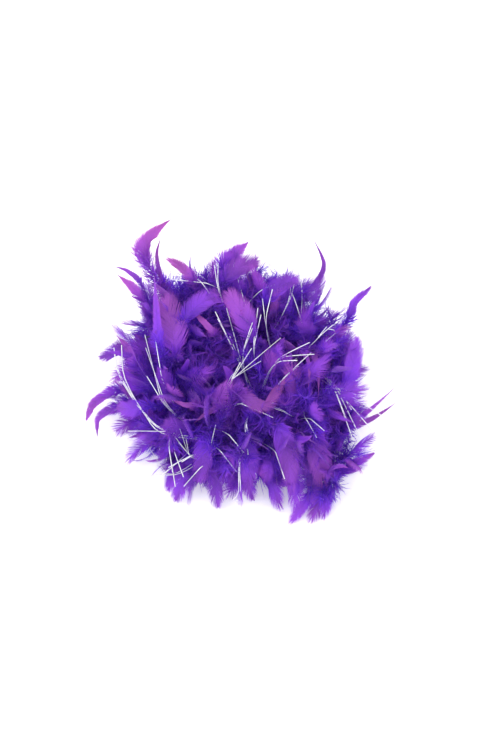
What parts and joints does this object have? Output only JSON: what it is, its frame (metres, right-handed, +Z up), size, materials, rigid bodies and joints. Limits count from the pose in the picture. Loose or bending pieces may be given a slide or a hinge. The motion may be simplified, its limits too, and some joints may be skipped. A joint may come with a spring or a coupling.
{
  "type": "feather boa",
  "caption": "Soft feather boa with metallic tinsel strands, lying in a loose two-layer coil with both ends free to lift.",
  "frame": {"origin": "middle of the underside of the whole pile, on the surface that the boa lies on", "axes": "+Z up from the surface, +X to the right and +Y to the back as seen from the front, where the lower end of the boa lies at the right"},
  "size_m": [0.3684, 0.3414, 0.1325],
  "materials": {
    "feather": "matt",
    "feather_tip": "satin",
    "cord": "matt",
    "thread": "satin",
    "tinsel": "metallised"
  },
  "bodies": {
    "coil": {"core_cord": "cord", "feather_bunch_02": "feather", "feather_bunch_03": "feather", "feather_bunch_04": "feather", "feather_bunch_05": "feather", "feather_bunch_06": "feather", "feather_bunch_07": "feather", "feather_bunch_08": "feather", "feather_bunch_09": "feather", "feather_bunch_10": "feather", "feather_bunch_11": "feather", "feather_bunch_12": "feather", "feather_bunch_13": "feather", "feather_bunch_14": "feather", "feather_bunch_15": "feather", "feather_bunch_16": "feather", "feather_bunch_17": "feather", "feather_bunch_18": "feather", "feather_bunch_19": "feather", "feather_bunch_20": "feather", "feather_bunch_21": "feather", "feather_bunch_22": "feather", "feather_bunch_23": "feather", "feather_bunch_24": "feather", "feather_bunch_25": "feather", "feather_bunch_26": "feather", "feather_bunch_27": "feather", "feather_bunch_28": "feather", "feather_bunch_29": "feather", "feather_bunch_30": "feather", "plume_back": "feather_tip", "plume_back_left": "feather_tip", "plume_curled_left": "feather_tip", "plume_front": "feather_tip", "plume_front_left": "feather_tip", "plume_split_right": "feather_tip", "plume_strap_right": "feather_tip", "plume_tall_left": "feather_tip", "plume_thin_right": "feather_tip", "plume_top": "feather_tip", "tinsel_01": "tinsel", "tinsel_02": "tinsel", "tinsel_03": "tinsel", "tinsel_04": "tinsel", "tinsel_05": "tinsel", "tinsel_06": "tinsel", "tinsel_07": "tinsel", "tinsel_08": "tinsel"},
    "lower_end": {"core_cord_lower_end": "cord", "lower_end_knot": "cord", "lower_end_whipping": "thread", "feather_bunch_01": "feather", "plume_tail": "feather_tip", "plume_blunt_right": "feather_tip"},
    "upper_end": {"core_cord_upper_end": "cord", "upper_end_knot": "cord", "upper_end_whipping": "thread", "feather_bunch_31": "feather", "plume_side_left": "feather_tip"}
  },
  "joints": [
    {"name": "lower_end_lift", "type": "hinge", "parent": "coil", "child": "lower_end", "pos_m": [0.11104, -0.05409, 0.019], "axis": [-1, 0.0062, 0], "range_deg": [0, 60]},
    {"name": "upper_end_lift", "type": "hinge", "parent": "coil", "child": "upper_end", "pos_m": [-0.04204, 0.09326, 0.0655], "axis": [-0.2436, 0.9699, 0], "range_deg": [0, 60]}
  ]
}
